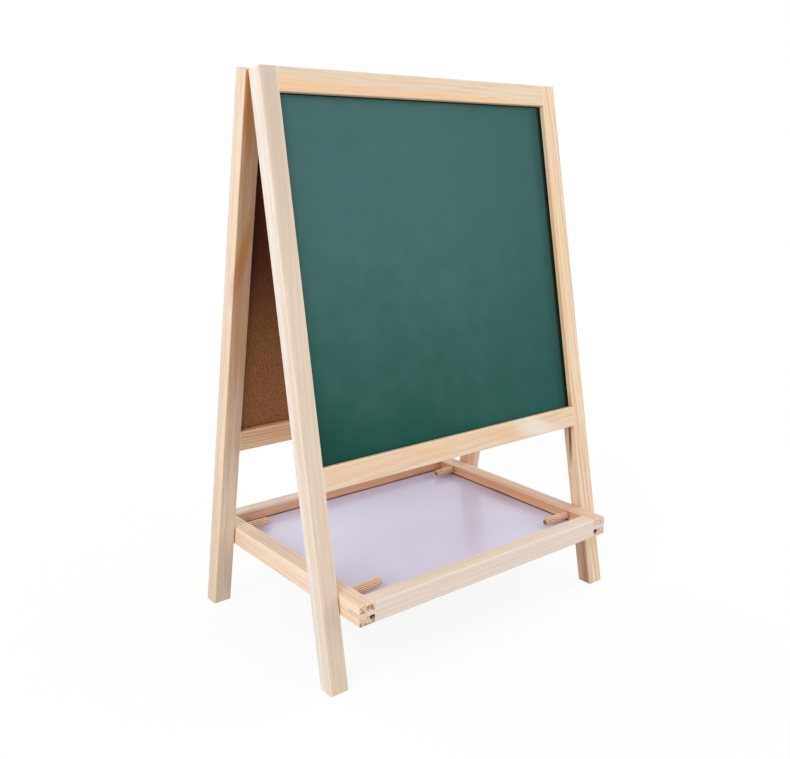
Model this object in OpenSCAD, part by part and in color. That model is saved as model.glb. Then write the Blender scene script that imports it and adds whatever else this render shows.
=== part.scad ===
// Double-sided tabletop easel for children.
// Two wooden frames are hinged at the top and stand in an A. The front frame holds a chalkboard and
// the rear frame a whiteboard. A shallow tray hangs between the legs on four wooden pegs.
// X runs across the easel, the front faces -Y, and Z is up from the surface that it stands on.

/* [Overall] */
// Height of the open easel
easel_h = 400; // [360:5:460]
// Width across the legs
easel_w = 270; // [230:5:330]
// Lean of each frame from upright, in degrees
lean = 10.4; // [9.4:0.2:12]

/* [Frames] */
// Width of a leg, seen from the front
leg_w = 14; // [12:0.5:18]
// Thickness of the legs and rails, front to back
frame_t = 12.5; // [11:0.5:15]
// Height of the top rail
top_rail_h = 16; // [15:0.5:22]
// Height of the lower rail
lower_rail_h = 16; // [13:0.5:22]
// Height of the opening that the board fills
opening_h = 242.5; // [200:2.5:260]
// Radius of the eased edges of the frame's wood
edge_r = 1; // [0.5:0.1:2]
// Radius of the rounded outer corner at the top of a leg
leg_tip_r = 2; // [1:0.5:5]

/* [Boards] */
// Thickness of the chalkboard and of the whiteboard
board_t = 3; // [2:0.1:4]
// Depth of the groove round each board
board_groove_d = 4.2; // [3:0.1:5]
// Play between a board and each wall of its groove
board_fit = 0.3; // [0.1:0.05:0.4]

/* [Corner dowels] */
// Diameter of the hidden dowels that join rails and legs
dowel_d = 6; // [5:0.5:7]
// Reach of a dowel into the leg
dowel_in_leg = 9; // [7:0.5:10]
// Reach of a dowel into the rail
dowel_in_rail = 15; // [10:0.5:20]
// Gap left for glue round a dowel and past its ends
glue_gap = 0.05; // [0.02:0.01:0.1]
// Chamfer at the ends of a corner dowel
dowel_chamfer = 0.9; // [0.4:0.1:1.4]

/* [Hinges] */
// Distance from the middle of the easel to the middle of a hinge
hinge_x = 70; // [40:5:90]
// Length of a hinge along its pin
hinge_len = 25; // [20:1:35]
// Height of a hinge leaf
leaf_h = 12; // [10:0.5:13]
// Thickness of a hinge leaf
leaf_t = 0.9; // [0.7:0.05:1.1]
// Radius of a leaf's two free corners
leaf_corner_r = 2; // [0.5:0.5:4]
// Outer diameter of a knuckle
knuckle_d = 3.6; // [3.4:0.1:3.8]
// Diameter of the hinge pin
hinge_pin_d = 2; // [1.6:0.1:2.2]
// Running clearance of the pin, on the radius
hinge_fit = 0.05; // [0.02:0.01:0.1]
// Distance from the hinge axis up to the ends of the legs
hinge_drop = 1.5; // [0.5:0.5:3]
// Gap between the two frames when they are folded flat
fold_gap = 4.2; // [4.1:0.1:6]
// Shank diameter of a hinge screw
screw_d = 2; // [1.6:0.1:2.4]
// Length of a hinge screw
screw_len = 8; // [6:0.5:9]
// Distance between the two screws of a leaf
screw_pitch = 15; // [10:0.5:17]

/* [Tray] */
// Length of the tray, front to back
tray_len = 198; // [180:2:240]
// Height of the underside of the tray above the surface
tray_z = 48.6; // [30:1:80]
// Width of a tray rail
tray_rail_w = 12.5; // [10:0.5:16]
// Height of a tray rail
tray_rail_h = 14.8; // [14:0.2:20]
// Gap between the tray and each leg
tray_gap = 0.6; // [0.4:0.1:1]
// Radius of the eased edges of the tray's wood
tray_edge_r = 1.2; // [0.5:0.1:2]
// Wood left below the groove for the tray's panel
tray_lip_h = 3.2; // [2.4:0.1:4]
// Height of the groove for the tray's panel
tray_groove_h = 3.2; // [2.9:0.1:4]
// Depth of that groove
tray_groove_d = 4.2; // [3:0.1:6]
// Thickness of the tray's panel
tray_panel_t = 2.5; // [2:0.1:3.1]
// Thickness of the tongues at the tray's corners
tongue_t = 3; // [2:0.1:4]

/* [Pegs] */
// Diameter of a peg
peg_d = 6; // [5:0.1:6.4]
// Running clearance of a peg in the tray and legs, on the radius
peg_fit = 0.2; // [0.05:0.05:0.25]
// Height of the peg bores above the groove for the panel
peg_lift = 0.45; // [0.35:0.05:1]
// Countersink at the mouth of a peg bore
bore_chamfer = 0.3; // [0.1:0.05:0.4]
// Length of a front peg
front_peg_len = 45; // [36:0.5:50]
// Reach of a front peg into its leg
front_peg_seat = 5.9; // [3:0.1:8]
// Length of a rear peg
rear_peg_len = 33; // [26:0.5:40]
// Gap between a drawn rear peg and its leg
rear_peg_gap = 0.3; // [0.2:0.1:1]
// Wood left in a leg past the end of a peg bore
bore_wall = 2.5; // [2:0.1:3.5]
// Length of a peg's tapered tip
peg_tip_len = 2; // [0.6:0.1:3]
// Diameter of the flat end of that tip
peg_tip_d = 3.6; // [2.4:0.1:4.6]
// Number of flutes along a peg
flute_count = 12; // [8:1:16]
// Width of a flute
flute_w = 0.7; // [0.4:0.1:0.9]

/* [Hidden] */
pine = "#e9cfa9";
pine_pale = "#f0dfc8";
pine_dark = "#c08a5c";
chalk_green = "#2f5a52";
melamine = "#ece9f0";
steel = "#b9b9bd";
edge_fn = 32;
round_fn = 48;
flute_fn = 16;
cut = 1;                                    // how far a cutter runs past the face that it opens

// Each frame lies in its own plane: X across, Z up the frame from the hinge axis, -Y outwards.
inner_b = fold_gap / 2;                     // hinge axis to the frame's inner face
outer_b = inner_b + frame_t;                // hinge axis to the frame's outer face
mid_b = inner_b + frame_t / 2;
hinge_z = easel_h - hinge_drop * cos(lean) - outer_b * sin(lean);
leg_reach = easel_h / cos(lean);            // more than the leg's length below the hinge axis
opening_w = easel_w - 2 * leg_w;
opening_top = hinge_drop - top_rail_h;      // height of the opening's upper edge on the frame
opening_low = opening_top - opening_h;

// Dowels sit in the part of the rail that the board's groove leaves whole.
top_dowel_z = (hinge_drop + opening_top + board_groove_d) / 2;
low_dowel_z = opening_low - (lower_rail_h + board_groove_d) / 2;

// Hinge
knuckle_count = 5;
knuckle_play = 0.15;                        // gap between neighbouring knuckles
knuckle_pitch = hinge_len / knuckle_count;
knuckle_gap = 0.3;                          // between a leaf and the other leaf's knuckles
knuckle_clear = knuckle_d / 2 + knuckle_gap;
pin_chamfer = hinge_pin_d / 8;
screw_head_d = 2 * screw_d;
screw_head_h = screw_d / 2;
screw_point_d = screw_d / 5;                // flat end of the screw's point
screw_slot = [1.2 * screw_d, 0.3, 0.5];     // length, width and depth of a cut of the cross recess
screw_z = -(leaf_h + knuckle_clear) / 2;    // middle of the leaf's flat part

// Tray
tray_half_w = opening_w / 2 - tray_gap;
well_half_w = tray_half_w - tray_rail_w;    // half the clear width between the side rails
well_half_l = tray_len / 2 - tray_rail_w;
groove_z = tray_z + tray_lip_h;
groove_top = groove_z + tray_groove_h;

// Pegs run along X through the side rails and into the middle of the legs.
bore_r = peg_d / 2 + peg_fit;
peg_z = groove_top + peg_lift + bore_r;
peg_a = (hinge_z + mid_b * sin(lean) - peg_z) / cos(lean);  // hinge axis to the pegs, down the frame
peg_y = peg_a * sin(lean) + mid_b * cos(lean);
leg_face_x = opening_w / 2;                 // inner face of a leg
bore_depth = leg_w - bore_wall;

// ---- shared shapes ----

// Rectangle with eased corners, from the origin
module eased_rect(w, h, r) {
    translate([r, 0]) square([w - 2 * r, h]);
    translate([0, r]) square([w, h - 2 * r]);
    for (x = [r, w - r], y = [r, h - r]) translate([x, y]) circle(r = r, $fn = edge_fn);
}

// The same rectangle, with eased corners only on its right (hand 1) or left (hand -1) side
module one_side_eased_rect(w, h, r, hand) {
    eased_rect(w, h, r);
    translate([hand > 0 ? 0 : w / 2, 0]) square([w / 2, h]);
}

// Cutter that eases an edge along Z at the origin, where the wood is on the side of -X and -Y
module edge_cutter(len, r) {
    linear_extrude(len) translate([-r, -r]) difference() {
        square(r + cut);
        circle(r = r, $fn = edge_fn);
    }
}

// Bar along X of height h and thickness t, from the origin
module bar_x(len, t, h, r) {
    rotate([90, 0, 90]) linear_extrude(len) eased_rect(t, h, r);
}

// Round stick along Z from the origin, with a tapered tip at both ends
module stick(d, len, tip_d, tip_len) {
    rotate_extrude($fn = round_fn)
        polygon([[0, 0], [tip_d / 2, 0], [d / 2, tip_len],
            [d / 2, len - tip_len], [tip_d / 2, len], [0, len]]);
}

// Round hole along X, centred on x, from x = -len / 2 to len / 2
module hole_x(r, len) {
    rotate([0, 90, 0]) cylinder(r = r, h = len, center = true, $fn = round_fn);
}

// Countersink of a hole along X, in a face at the origin that looks towards hand
module bore_mouth(r, chamfer, hand) {
    rotate([0, hand * 90, 0]) translate([0, 0, -2 * chamfer])
        cylinder(r1 = r - chamfer, r2 = r + chamfer + cut, h = 2 * chamfer + cut, $fn = round_fn);
}

// Puts a flat frame's pieces in place: side -1 is the front frame, 1 the rear
module lean_frame(side) {
    translate([0, 0, hinge_z]) rotate([side * lean, 0, 0]) mirror([0, side > 0 ? 1 : 0, 0]) children();
}

// ---- frames ----

// One leg: hand is -1 for left and 1 for right
module leg(side, hand) {
    difference() {
        lean_frame(side) difference() {
            leg_blank(hand);
            leg_edge_cutters(hand, opening_low, opening_h);
            leg_edge_cutters(hand, -leg_reach, leg_reach + opening_low - lower_rail_h);
            leg_board_groove(hand);
            for (z = [top_dowel_z, low_dowel_z])
                translate([hand * leg_face_x, -mid_b, z])
                    hole_x(dowel_d / 2 + glue_gap, 2 * (dowel_in_leg + glue_gap));
            translate([hand * leg_face_x, -mid_b, -peg_a]) {
                hole_x(bore_r, 2 * bore_depth);
                bore_mouth(bore_r, bore_chamfer, -hand);
            }
        }
        below_floor();
    }
}

// A leg's stick: its outer edges and its top end are eased, and its inner edges are still square
module leg_blank(hand) {
    len = leg_reach + hinge_drop;
    difference() {
        translate([hand * (easel_w - leg_w) / 2 - leg_w / 2, -outer_b, -leg_reach]) intersection() {
            linear_extrude(len) one_side_eased_rect(leg_w, frame_t, edge_r, hand);
            bar_x(leg_w, frame_t, len, edge_r);
        }
        translate([hand * easel_w / 2, 0, hinge_drop]) mirror([hand > 0 ? 0 : 1, 0, 0]) rotate([90, 0, 0])
            edge_cutter(outer_b + cut, leg_tip_r);
    }
}

// Eases both inner edges of a leg over a height len from z. They stay square where a rail meets them.
module leg_edge_cutters(hand, z, len) {
    translate([hand * leg_face_x, 0, z]) mirror([hand > 0 ? 1 : 0, 0, 0]) {
        translate([0, -inner_b, 0]) edge_cutter(len, edge_r);
        translate([0, -outer_b, 0]) mirror([0, 1, 0]) edge_cutter(len, edge_r);
    }
}

// Groove in a leg's inner face, between the middles of the rails' grooves
module leg_board_groove(hand) {
    w = board_t + 2 * board_fit;
    translate([hand * leg_face_x - board_groove_d, -mid_b - w / 2, opening_low - board_groove_d])
        cube([2 * board_groove_d, w, opening_h + 2 * board_groove_d]);
}

// Everything under the surface that the feet stand on
module below_floor() {
    reach = 2 * easel_h;
    translate([-reach, -reach, -reach]) cube([2 * reach, 2 * reach, reach]);
}

// One rail of a frame from height z_low to z_high, with its board groove on the edge at groove_edge
module frame_rail(side, z_low, z_high, groove_edge, dowel_z) {
    w = board_t + 2 * board_fit;
    lean_frame(side) difference() {
        translate([-opening_w / 2, -outer_b, z_low]) bar_x(opening_w, frame_t, z_high - z_low, edge_r);
        translate([-easel_w / 2, -mid_b - w / 2, groove_edge - board_groove_d])
            cube([easel_w, w, 2 * board_groove_d]);
        for (hand = [-1, 1])
            translate([hand * opening_w / 2, -mid_b, dowel_z])
                hole_x(dowel_d / 2 + glue_gap, 2 * (dowel_in_rail + glue_gap));
        if (z_high > 0) hinge_screw_set(glue_gap, false);
    }
}

module frame_board(side) {
    tuck = board_groove_d - board_fit;      // how far the board reaches into its groove
    lean_frame(side)
        translate([-opening_w / 2 - tuck, -mid_b - board_t / 2, opening_low - tuck])
            cube([opening_w + 2 * tuck, board_t, opening_h + 2 * tuck]);
}

module corner_dowels(side) {
    lean_frame(side)
        for (hand = [-1, 1], z = [top_dowel_z, low_dowel_z])
            translate([hand * (leg_face_x + dowel_in_leg), -mid_b, z]) rotate([0, -hand * 90, 0])
                stick(dowel_d, dowel_in_leg + dowel_in_rail, dowel_d - 2 * dowel_chamfer, dowel_chamfer);
}

module front_left_leg() { color(pine_pale) leg(-1, -1); }
module front_right_leg() { color(pine_pale) leg(-1, 1); }
module rear_left_leg() { color(pine_pale) leg(1, -1); }
module rear_right_leg() { color(pine_pale) leg(1, 1); }

module top_rail(side) { frame_rail(side, opening_top, hinge_drop, opening_top, top_dowel_z); }
module lower_rail(side) {
    frame_rail(side, opening_low - lower_rail_h, opening_low, opening_low, low_dowel_z);
}

module front_top_rail() { color(pine) top_rail(-1); }
module rear_top_rail() { color(pine) top_rail(1); }
module front_lower_rail() { color(pine) lower_rail(-1); }
module rear_lower_rail() { color(pine) lower_rail(1); }
module chalkboard() { color(chalk_green) frame_board(-1); }
module whiteboard() { color(melamine) frame_board(1); }
module front_corner_dowels() { color(pine_dark) corner_dowels(-1); }
module rear_corner_dowels() { color(pine_dark) corner_dowels(1); }

// ---- hinges ----

// Leaf on a frame's inner face, with the knuckles of every second place from first
module hinge_leaf(side, hand, first) {
    lean_frame(side) translate([hand * hinge_x - hinge_len / 2, 0, 0]) difference() {
        union() {
            translate([0, leaf_t - inner_b, -leaf_h]) rotate([90, 0, 0])
                linear_extrude(leaf_t) leaf_outline();
            for (i = [first : 2 : knuckle_count - 1])
                translate([i * knuckle_pitch + knuckle_play / 2, 0, 0]) knuckle();
        }
        rotate([0, 90, 0]) translate([0, 0, -cut])
            cylinder(r = hinge_pin_d / 2 + hinge_fit, h = hinge_len + 2 * cut, $fn = round_fn);
        translate([-hand * hinge_x + hinge_len / 2, 0, 0]) hinge_screw_pair(hand, glue_gap, false);
    }
}

// Flat part of a leaf, with its two free corners rounded
module leaf_outline() {
    h = leaf_h - knuckle_clear;
    eased_rect(hinge_len, h, leaf_corner_r);
    translate([0, h / 2]) square([hinge_len, h / 2]);
}

// One knuckle and the strip that joins it to the leaf
module knuckle() {
    len = knuckle_pitch - knuckle_play;
    rotate([0, 90, 0]) cylinder(d = knuckle_d, h = len, $fn = round_fn);
    translate([0, -inner_b, -knuckle_clear - leaf_t]) cube([len, leaf_t, knuckle_clear + leaf_t]);
}

module hinge_pin(hand) {
    translate([hand * hinge_x - hinge_len / 2, 0, hinge_z]) rotate([0, 90, 0])
        stick(hinge_pin_d, hinge_len, hinge_pin_d - 2 * pin_chamfer, pin_chamfer);
}

// Countersunk screw from the leaf's face into the rail, grown by gap where it cuts its own seat
module hinge_screw(gap, recess) {
    r = screw_d / 2 + gap;
    head_r = screw_head_d / 2 + gap;
    point_h = screw_d;
    difference() {
        rotate_extrude($fn = round_fn)
            polygon([[0, gap], [head_r, gap], [head_r, 0], [r, -screw_head_h],
                [r, point_h - screw_len], [screw_point_d / 2, -screw_len - gap], [0, -screw_len - gap]]);
        if (recess)
            for (turn = [0, 90]) rotate(turn) translate([0, 0, gap])
                cube([screw_slot[0], screw_slot[1], 2 * screw_slot[2]], center = true);
    }
}

// The two screws of one leaf
module hinge_screw_pair(hand, gap, recess) {
    for (x = [-1, 1])
        translate([hand * hinge_x + x * screw_pitch / 2, leaf_t - inner_b, screw_z])
            rotate([-90, 0, 0]) hinge_screw(gap, recess);
}

module hinge_screw_set(gap, recess) {
    for (hand = [-1, 1]) hinge_screw_pair(hand, gap, recess);
}

module left_hinge_front_leaf() { color(steel) hinge_leaf(-1, -1, 0); }
module right_hinge_front_leaf() { color(steel) hinge_leaf(-1, 1, 0); }
module left_hinge_rear_leaf() { color(steel) hinge_leaf(1, -1, 1); }
module right_hinge_rear_leaf() { color(steel) hinge_leaf(1, 1, 1); }
module left_hinge_pin() { color(steel) hinge_pin(-1); }
module right_hinge_pin() { color(steel) hinge_pin(1); }
module front_hinge_screws() { color(steel) lean_frame(-1) hinge_screw_set(0, true); }
module rear_hinge_screws() { color(steel) lean_frame(1) hinge_screw_set(0, true); }

// ---- tray ----

// Side rail: grooved for the panel, slotted at both ends for the tongues and bored for the pegs
module tray_side_rail(hand) {
    difference() {
        tray_side_blank(hand);
        translate([hand * well_half_w - tray_groove_d, -tray_len / 2 - cut, groove_z])
            cube([2 * tray_groove_d, tray_len + 2 * cut, tray_groove_h]);
        for (end = [-1, 1])
            translate([hand * tray_half_w, end * tray_len / 2, groove_top + tongue_t / 2])
                cube([2 * tray_rail_w + cut, 2 * (tray_rail_w + glue_gap), tongue_t + 2 * glue_gap],
                    center = true);
        for (y = [-peg_y, peg_y])
            translate([hand * (tray_half_w - tray_rail_w / 2), y, peg_z]) {
                hole_x(bore_r, tray_rail_w + cut);
                for (face = [-1, 1])
                    translate([face * tray_rail_w / 2, 0, 0]) bore_mouth(bore_r, bore_chamfer, face);
            }
    }
}

// A side rail's stick: its inner edges are eased only between the end rails
module tray_side_blank(hand) {
    difference() {
        translate([hand * (tray_half_w - tray_rail_w / 2) - tray_rail_w / 2, 0, tray_z]) intersection() {
            translate([0, tray_len / 2, 0]) rotate([90, 0, 0]) linear_extrude(tray_len)
                one_side_eased_rect(tray_rail_w, tray_rail_h, tray_edge_r, hand);
            translate([0, -tray_len / 2, 0]) bar_x(tray_rail_w, tray_len, tray_rail_h, tray_edge_r);
        }
        translate([hand * well_half_w, well_half_l, tray_z]) mirror([hand > 0 ? 1 : 0, 0, 0]) {
            translate([0, 0, tray_rail_h]) rotate([90, 0, 0]) edge_cutter(2 * well_half_l, tray_edge_r);
            mirror([0, 0, 1]) rotate([90, 0, 0]) edge_cutter(2 * well_half_l, tray_edge_r);
        }
    }
}

// End rail: its tongues pass through the slots and finish flush with the side rails
module tray_end_rail(side) {
    difference() {
        translate([-well_half_w, side * (tray_len / 2 - tray_rail_w / 2) - tray_rail_w / 2, tray_z])
            bar_x(2 * well_half_w, tray_rail_w, tray_rail_h, tray_edge_r);
        translate([-easel_w / 2, side * well_half_l - tray_groove_d, groove_z])
            cube([easel_w, 2 * tray_groove_d, tray_groove_h]);
    }
    for (hand = [-1, 1])
        translate([hand * (tray_half_w - tray_rail_w / 2), side * (tray_len / 2 - tray_rail_w / 2),
            groove_top + tongue_t / 2])
            cube([tray_rail_w, tray_rail_w, tongue_t], center = true);
}

module tray_left_rail() { color(pine) tray_side_rail(-1); }
module tray_right_rail() { color(pine) tray_side_rail(1); }
module tray_front_rail() { color(pine_pale) tray_end_rail(-1); }
module tray_rear_rail() { color(pine_pale) tray_end_rail(1); }
module tray_panel() {
    tuck = tray_groove_d - board_fit;
    color(melamine) translate([-well_half_w - tuck, -well_half_l - tuck, groove_z])
        cube([2 * (well_half_w + tuck), 2 * (well_half_l + tuck), tray_panel_t]);
}

// ---- pegs ----

// Fluted peg along X whose outer end is at x = hand * end_x
module peg(hand, y, end_x, len) {
    translate([hand * end_x, y, peg_z]) rotate([0, -hand * 90, 0]) difference() {
        stick(peg_d, len, peg_tip_d, peg_tip_len);
        for (i = [0 : flute_count - 1])
            rotate(i * 360 / flute_count) translate([peg_d / 2, 0, -cut])
                cylinder(d = flute_w, h = len + 2 * cut, $fn = flute_fn);
    }
}

module front_peg(hand) { color(pine_dark) peg(hand, -peg_y, leg_face_x + front_peg_seat, front_peg_len); }
module rear_peg(hand) { color(pine_dark) peg(hand, peg_y, leg_face_x - rear_peg_gap, rear_peg_len); }

module front_left_peg() { front_peg(-1); }
module front_right_peg() { front_peg(1); }
module rear_left_peg() { rear_peg(-1); }
module rear_right_peg() { rear_peg(1); }

// ---- assembly ----

front_left_leg();
front_right_leg();
front_top_rail();
front_lower_rail();
chalkboard();
front_corner_dowels();
rear_left_leg();
rear_right_leg();
rear_top_rail();
rear_lower_rail();
whiteboard();
rear_corner_dowels();
left_hinge_front_leaf();
left_hinge_rear_leaf();
left_hinge_pin();
right_hinge_front_leaf();
right_hinge_rear_leaf();
right_hinge_pin();
front_hinge_screws();
rear_hinge_screws();
tray_left_rail();
tray_right_rail();
tray_front_rail();
tray_rear_rail();
tray_panel();
front_left_peg();
front_right_peg();
rear_left_peg();
rear_right_peg();
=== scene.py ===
# %% [markdown]
# # A double-sided tabletop easel for children
# Two pine frames lean against each other in an A. The front one holds a green chalkboard and the
# rear one a whiteboard, and a shallow tray hangs between the legs on four fluted pegs.
# The packed model already has every stick, board and hinge at its real size, so this lesson gives
# each of them its finish, turns the pegs as finer surfaces, and sets up the light and the camera.
# Lengths are metres, X runs across the easel, the front faces -Y and Z is up. The finishes of wood
# and boards work in millimetres from the middle of their own piece, because grain is easier to
# think of that way.

# %% Load the packed model
import math

import bpy
import numpy as np
from mathutils import Matrix, Vector


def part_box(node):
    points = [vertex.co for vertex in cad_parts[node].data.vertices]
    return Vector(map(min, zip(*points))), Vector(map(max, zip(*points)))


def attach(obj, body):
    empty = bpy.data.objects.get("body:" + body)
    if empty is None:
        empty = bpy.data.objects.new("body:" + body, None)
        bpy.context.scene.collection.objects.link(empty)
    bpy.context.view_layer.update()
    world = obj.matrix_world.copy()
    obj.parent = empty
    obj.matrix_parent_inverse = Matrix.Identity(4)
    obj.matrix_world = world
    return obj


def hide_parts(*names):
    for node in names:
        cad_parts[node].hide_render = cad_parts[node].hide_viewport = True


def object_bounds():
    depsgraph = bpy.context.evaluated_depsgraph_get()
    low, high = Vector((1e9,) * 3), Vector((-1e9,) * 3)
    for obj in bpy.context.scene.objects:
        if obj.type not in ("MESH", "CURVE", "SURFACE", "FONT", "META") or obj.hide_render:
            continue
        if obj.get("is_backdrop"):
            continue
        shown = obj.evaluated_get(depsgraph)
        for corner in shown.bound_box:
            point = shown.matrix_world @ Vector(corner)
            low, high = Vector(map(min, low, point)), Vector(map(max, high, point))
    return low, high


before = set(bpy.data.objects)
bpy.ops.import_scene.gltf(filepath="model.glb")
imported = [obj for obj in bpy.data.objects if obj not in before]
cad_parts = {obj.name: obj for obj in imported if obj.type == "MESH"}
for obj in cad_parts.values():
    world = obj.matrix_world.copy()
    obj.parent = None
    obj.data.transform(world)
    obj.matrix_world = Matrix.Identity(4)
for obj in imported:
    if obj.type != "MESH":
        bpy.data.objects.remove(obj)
cad_low, cad_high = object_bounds()
MM = 1000                               # millimetres in a metre
scene = bpy.context.scene
scene.view_settings.view_transform = "Standard"
print("nodes:", len(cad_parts), "size in metres:", [round(s, 4) for s in cad_high - cad_low])

# %% [markdown]
# ## The camera
# The easel is seen from its left front corner, from a little under its own height. A camera is
# easiest to read as a place, a heading, a tilt and a roll. The lens is a mild telephoto one, which
# keeps the legs almost parallel, and the small shift slides the picture without turning the camera.

# %% Camera
EYE = (-0.4335, -0.5365, 0.3467)
HEADING = math.radians(-39.76)          # turned from +Y towards +X
TILT = math.radians(-11.67)             # looking slightly down
ROLL = math.radians(0.52)
LENS = 41.79                            # millimetres
SENSOR_WIDTH = 36.0                     # millimetres
SHIFT = (-0.0360, -0.0471)              # in widths of the picture
NEAREST = 0.02                          # metres; nothing closer to the eye is drawn

camera = bpy.data.objects.new("camera", bpy.data.cameras.new("camera"))
scene.collection.objects.link(camera)
turn = Matrix.Rotation(HEADING, 4, "Z") @ Matrix.Rotation(math.pi / 2 + TILT, 4, "X")
camera.matrix_world = Matrix.Translation(EYE) @ turn @ Matrix.Rotation(ROLL, 4, "Z")
camera.data.sensor_width = SENSOR_WIDTH
camera.data.lens = LENS
camera.data.shift_x, camera.data.shift_y = SHIFT
camera.data.clip_start = NEAREST
scene.camera = camera
print("the camera looks along", [round(c, 3) for c in -camera.matrix_world.col[2].xyz])

# %% [markdown]
# ## Writing materials as code
# A material is a small graph of nodes. Typing out every link hides what the finish is, so a helper
# class gives each kind of node one short call, and a value can be a number, a colour or the output
# of another node. Colours are written as on a paint chart and changed to the linear values that
# the renderer works with.

# %% Colours
def paint(code):
    """Linear colour of a chart colour such as "#e9cfa9".

    Each channel c from 0 to 1 becomes c / 12.92 where it is dark and ((c + 0.055) / 1.055) ** 2.4
    elsewhere.
    """
    channels = [int(code[i:i + 2], 16) / 255 for i in (1, 3, 5)]
    linear = [c / 12.92 if c <= 0.04045 else ((c + 0.055) / 1.055) ** 2.4 for c in channels]
    return (*linear, 1.0)


print("a chart colour and its linear values:", "#e9cfa9", [round(c, 3) for c in paint("#e9cfa9")])


# %% Node helpers
class Finish:
    """A material with a Principled shader. Most methods add a node and give back its output."""

    def __init__(self, name):
        self.material = bpy.data.materials.new(name)
        self.material.use_nodes = True
        self.tree = self.material.node_tree
        self.shader = self.tree.nodes["Principled BSDF"]
        coordinates = self.tree.nodes.new("ShaderNodeTexCoord")
        self.place = coordinates.outputs["Object"]
        self.facing = coordinates.outputs["Normal"]

    def feed(self, socket, value):
        """Links the value if it is another node's output, and sets it on the socket otherwise."""
        if isinstance(value, bpy.types.NodeSocket):
            self.tree.links.new(value, socket)
        else:
            socket.default_value = value

    def set(self, **values):
        """Feeds the shader's own sockets: base_color is its Base Color, and so on."""
        for name, value in values.items():
            key = name.replace("_", " ").title().replace("Ior", "IOR")
            self.feed(self.shader.inputs[key], value)

    def math(self, operation, a, b=0.0, clamp=False):
        """A sum, product or other operation on two numbers, kept within 0 to 1 by clamp."""
        node = self.tree.nodes.new("ShaderNodeMath")
        node.operation, node.use_clamp = operation, clamp
        self.feed(node.inputs[0], a)
        self.feed(node.inputs[1], b)
        return node.outputs[0]

    def vector(self, operation, a, b=(0.0, 0.0, 0.0)):
        """The same on two vectors. A length and a dot product give a number."""
        node = self.tree.nodes.new("ShaderNodeVectorMath")
        node.operation = operation
        self.feed(node.inputs[0], a)
        self.feed(node.inputs[1], b)
        return node.outputs["Value" if operation in ("LENGTH", "DOT_PRODUCT") else "Vector"]

    def parts(self, vector):
        """The x, y and z of a vector."""
        node = self.tree.nodes.new("ShaderNodeSeparateXYZ")
        self.feed(node.inputs[0], vector)
        return node.outputs[0], node.outputs[1], node.outputs[2]

    def noise(self, vector, scale=(1.0, 1.0, 1.0), detail=2.0, roughness=0.5, colour=False):
        """Soft noise from 0 to 1 that changes about scale times in one unit of the vector."""
        node = self.tree.nodes.new("ShaderNodeTexNoise")
        self.feed(node.inputs["Vector"], self.vector("MULTIPLY", vector, scale))
        self.feed(node.inputs["Scale"], 1.0)
        self.feed(node.inputs["Detail"], detail)
        self.feed(node.inputs["Roughness"], roughness)
        return node.outputs["Color" if colour else "Fac"]

    def chance(self, value):
        """One random number from 0 to 1 for each whole value."""
        node = self.tree.nodes.new("ShaderNodeTexWhiteNoise")
        node.noise_dimensions = "1D"
        self.feed(node.inputs["W"], value)
        return node.outputs["Value"]

    def rise(self, value, start, end, low=0.0, high=1.0):
        """Goes smoothly from low to high as the value goes from start to end."""
        node = self.tree.nodes.new("ShaderNodeMapRange")
        node.interpolation_type = "SMOOTHSTEP"
        for key, number in zip(("Value", "From Min", "From Max", "To Min", "To Max"),
                               (value, start, end, low, high)):
            self.feed(node.inputs[key], number)
        return node.outputs[0]

    def mix(self, share, a, b):
        """Colour a, with this share of colour b over it."""
        node = self.tree.nodes.new("ShaderNodeMix")
        node.data_type = "RGBA"
        self.feed(node.inputs[0], share)
        self.feed(node.inputs[6], a)
        self.feed(node.inputs[7], b)
        return node.outputs[2]

    def bump(self, height, depth):
        """Raises the surface by height times depth, in metres."""
        node = self.tree.nodes.new("ShaderNodeBump")
        self.feed(node.inputs["Distance"], depth)
        self.feed(node.inputs["Height"], height)
        self.feed(self.shader.inputs["Normal"], node.outputs[0])

    def give(self, *pieces):
        """Puts this finish on every slot of these pieces."""
        for piece in pieces:
            piece.data.materials.clear()
            piece.data.materials.append(self.material)


print("node helpers:", [name for name in vars(Finish) if not name.startswith("_")])

# %% [markdown]
# ## Where each stick lies
# Grain follows the stick and not the room, so each finish needs the stick's own directions: along
# the grain, out of its show face, and across. The frames lean, and their lean can be read from the
# boards: the largest face of a board looks straight out of its frame.

# %% Directions of the frames
def corners(node):
    """The vertices of a CAD node, one row x, y, z each."""
    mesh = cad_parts[node].data
    flat = np.empty(3 * len(mesh.vertices))
    mesh.vertices.foreach_get("co", flat)
    return flat.reshape(-1, 3)


def board_facing(node, side):
    """Unit vector out of a board's largest face, on the side -1 for the front and 1 for the rear."""
    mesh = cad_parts[node].data
    areas = np.empty(len(mesh.polygons))
    normals = np.empty(3 * len(mesh.polygons))
    mesh.polygons.foreach_get("area", areas)
    mesh.polygons.foreach_get("normal", normals)
    normal = normals.reshape(-1, 3)[areas.argmax()]
    return Vector(normal * side * np.sign(normal[1]))


ACROSS = Vector((1, 0, 0))
DEEP = Vector((0, 1, 0))
UPRIGHT = Vector((0, 0, 1))
FRONT_OUT = board_facing("chalkboard", -1)
REAR_OUT = board_facing("whiteboard", 1)
FRONT_UP = ACROSS.cross(-FRONT_OUT)
REAR_UP = ACROSS.cross(REAR_OUT)
print("the frames lean by", round(math.degrees(math.asin(FRONT_OUT.z)), 2), "degrees")


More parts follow.
